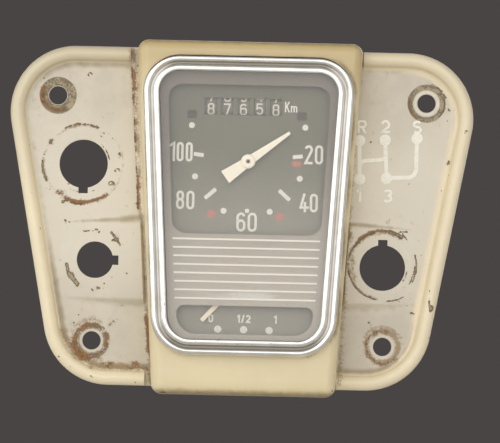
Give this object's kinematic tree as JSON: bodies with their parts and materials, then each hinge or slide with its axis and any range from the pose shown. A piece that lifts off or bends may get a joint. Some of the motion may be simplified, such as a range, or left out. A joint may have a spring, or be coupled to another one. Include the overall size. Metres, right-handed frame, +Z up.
{
  "type": "dashboard speedometer",
  "caption": "Cable-driven speedometer with odometer and fuel gauge in a polished bezel and cream housing, on a pressed dash panel with rolled rim and switch holes.",
  "frame": {"origin": "midway between the two upper screw holes, on the panel's back face", "axes": "+Z up, front faces -Y, +X to the viewer's right"},
  "size_m": [0.176, 0.0668, 0.135],
  "materials": {
    "panel_paint": "gloss",
    "housing_paint": "gloss",
    "bezel_metal": "polished",
    "lens_glass": "polished",
    "seal_rubber": "matte",
    "mask_plastic": "matte",
    "strip_paint": "satin",
    "dial_paint": "matte",
    "needle_paint": "satin",
    "filter_plastic": "gloss",
    "case_steel": "satin",
    "zinc_casting": "as cast",
    "steel": "plated",
    "brass": "turned",
    "cup_aluminium": "spun",
    "magnet_alloy": "ground",
    "drum_plastic": "matte",
    "gear_plastic": "moulded",
    "coil_winding": "varnished",
    "insulator": "moulded",
    "socket_plastic": "moulded",
    "bulb_glass": "clear"
  },
  "bodies": {
    "frame": {"dash_panel": "panel_paint", "housing": "housing_paint", "housing_screws": "steel", "bezel": "bezel_metal", "lens": "lens_glass", "lens_gasket": "seal_rubber", "mask": "mask_plastic", "mask_strips": "strip_paint", "speed_dial": "dial_paint", "fuel_dial": "dial_paint", "warning_filters": "filter_plastic", "case_shell": "case_steel", "case_cover": "case_steel", "case_screws": "steel", "mechanism_frame": "zinc_casting", "cable_boss": "brass", "boss_nut": "brass", "bridge": "zinc_casting", "bridge_screws": "steel", "front_bush": "brass", "hairspring": "brass", "odometer_axle": "steel", "pinion_shaft": "steel", "fuel_bracket": "steel", "fuel_coils": "coil_winding", "terminal_studs": "brass", "terminal_spacers": "insulator", "terminal_insulators": "insulator", "terminal_nuts": "brass", "lamp_sockets": "socket_plastic", "lamp_bulbs": "bulb_glass", "clamp_strap": "steel", "clamp_studs": "steel", "clamp_nuts": "steel"},
    "pointer": {"needle_spindle": "steel", "speed_needle": "needle_paint", "speed_cup": "cup_aluminium"},
    "rotor": {"drive_spindle": "steel", "magnet": "magnet_alloy", "drive_worm": "brass"},
    "cross": {"cross_shaft": "steel", "cross_wheel": "brass", "cross_worm": "brass"},
    "riser": {"riser_shaft": "steel", "riser_wheel": "brass", "riser_worm": "brass"},
    "drum_1": {"odometer_drum_1": "drum_plastic", "odometer_wheel": "gear_plastic"},
    "fuel": {"fuel_spindle": "steel", "fuel_armature": "magnet_alloy", "fuel_needle": "needle_paint"},
    "drum_2": {"odometer_drum_2": "drum_plastic"},
    "drum_3": {"odometer_drum_3": "drum_plastic"},
    "drum_4": {"odometer_drum_4": "drum_plastic"},
    "drum_5": {"odometer_drum_5": "drum_plastic"},
    "pinion_1": {"carry_pinion_1": "gear_plastic"},
    "pinion_2": {"carry_pinion_2": "gear_plastic"},
    "pinion_3": {"carry_pinion_3": "gear_plastic"},
    "pinion_4": {"carry_pinion_4": "gear_plastic"}
  },
  "joints": [
    {"name": "needle_swing", "type": "hinge", "parent": "frame", "child": "pointer", "pos_m": [0.00275, 0, -0.02365], "axis": [0, 1, 0], "range_deg": [0, 262], "stiffness_Nm_per_rad": 0.00002, "springref_deg": -8.59},
    {"name": "fuel_swing", "type": "hinge", "parent": "frame", "child": "fuel", "pos_m": [0.00275, 0, -0.06685], "axis": [0, -1, 0], "range_deg": [0, 70], "stiffness_Nm_per_rad": 0.00001, "springref_deg": -8.59},
    {"name": "drive_spin", "type": "hinge", "parent": "frame", "child": "rotor", "pos_m": [0.00275, 0, -0.02365], "axis": [0, 1, 0], "continuous": true},
    {"name": "cross_spin", "type": "hinge", "parent": "frame", "child": "cross", "pos_m": [0.00275, 0.0108, -0.0168], "axis": [1, 0, 0], "continuous": true},
    {"name": "riser_spin", "type": "hinge", "parent": "frame", "child": "riser", "pos_m": [0.01975, 0.00475, -0.0168], "axis": [0, 0, 1], "continuous": true},
    {"name": "drum_1_spin", "type": "hinge", "parent": "frame", "child": "drum_1", "pos_m": [0.00275, -0.0023, -0.0029], "axis": [1, 0, 0], "continuous": true},
    {"name": "drum_2_spin", "type": "hinge", "parent": "frame", "child": "drum_2", "pos_m": [0.00275, -0.0023, -0.0029], "axis": [1, 0, 0], "continuous": true},
    {"name": "drum_3_spin", "type": "hinge", "parent": "frame", "child": "drum_3", "pos_m": [0.00275, -0.0023, -0.0029], "axis": [1, 0, 0], "continuous": true},
    {"name": "drum_4_spin", "type": "hinge", "parent": "frame", "child": "drum_4", "pos_m": [0.00275, -0.0023, -0.0029], "axis": [1, 0, 0], "continuous": true},
    {"name": "drum_5_spin", "type": "hinge", "parent": "frame", "child": "drum_5", "pos_m": [0.00275, -0.0023, -0.0029], "axis": [1, 0, 0], "continuous": true},
    {"name": "pinion_1_spin", "type": "hinge", "parent": "frame", "child": "pinion_1", "pos_m": [0.00275, 0.00441, 0.00381], "axis": [1, 0, 0], "continuous": true},
    {"name": "pinion_2_spin", "type": "hinge", "parent": "frame", "child": "pinion_2", "pos_m": [0.00275, 0.00441, 0.00381], "axis": [1, 0, 0], "continuous": true},
    {"name": "pinion_3_spin", "type": "hinge", "parent": "frame", "child": "pinion_3", "pos_m": [0.00275, 0.00441, 0.00381], "axis": [1, 0, 0], "continuous": true},
    {"name": "pinion_4_spin", "type": "hinge", "parent": "frame", "child": "pinion_4", "pos_m": [0.00275, 0.00441, 0.00381], "axis": [1, 0, 0], "continuous": true}
  ],
  "couplings": [
    {"joint": "cross_spin", "follows": "drive_spin", "ratio": -0.05},
    {"joint": "riser_spin", "follows": "drive_spin", "ratio": -0.0025},
    {"joint": "drum_1_spin", "follows": "drive_spin", "ratio": -0.0001},
    {"joint": "drum_2_spin", "follows": "drive_spin", "ratio": -0.00001},
    {"joint": "drum_3_spin", "follows": "drive_spin", "ratio": -0.000001},
    {"joint": "drum_4_spin", "follows": "drive_spin", "ratio": -0.0000001},
    {"joint": "drum_5_spin", "follows": "drive_spin", "ratio": -0.00000001},
    {"joint": "pinion_1_spin", "follows": "drive_spin", "ratio": 0.000025},
    {"joint": "pinion_2_spin", "follows": "drive_spin", "ratio": 0.0000025},
    {"joint": "pinion_3_spin", "follows": "drive_spin", "ratio": 0.00000025},
    {"joint": "pinion_4_spin", "follows": "drive_spin", "ratio": 0.000000025}
  ]
}
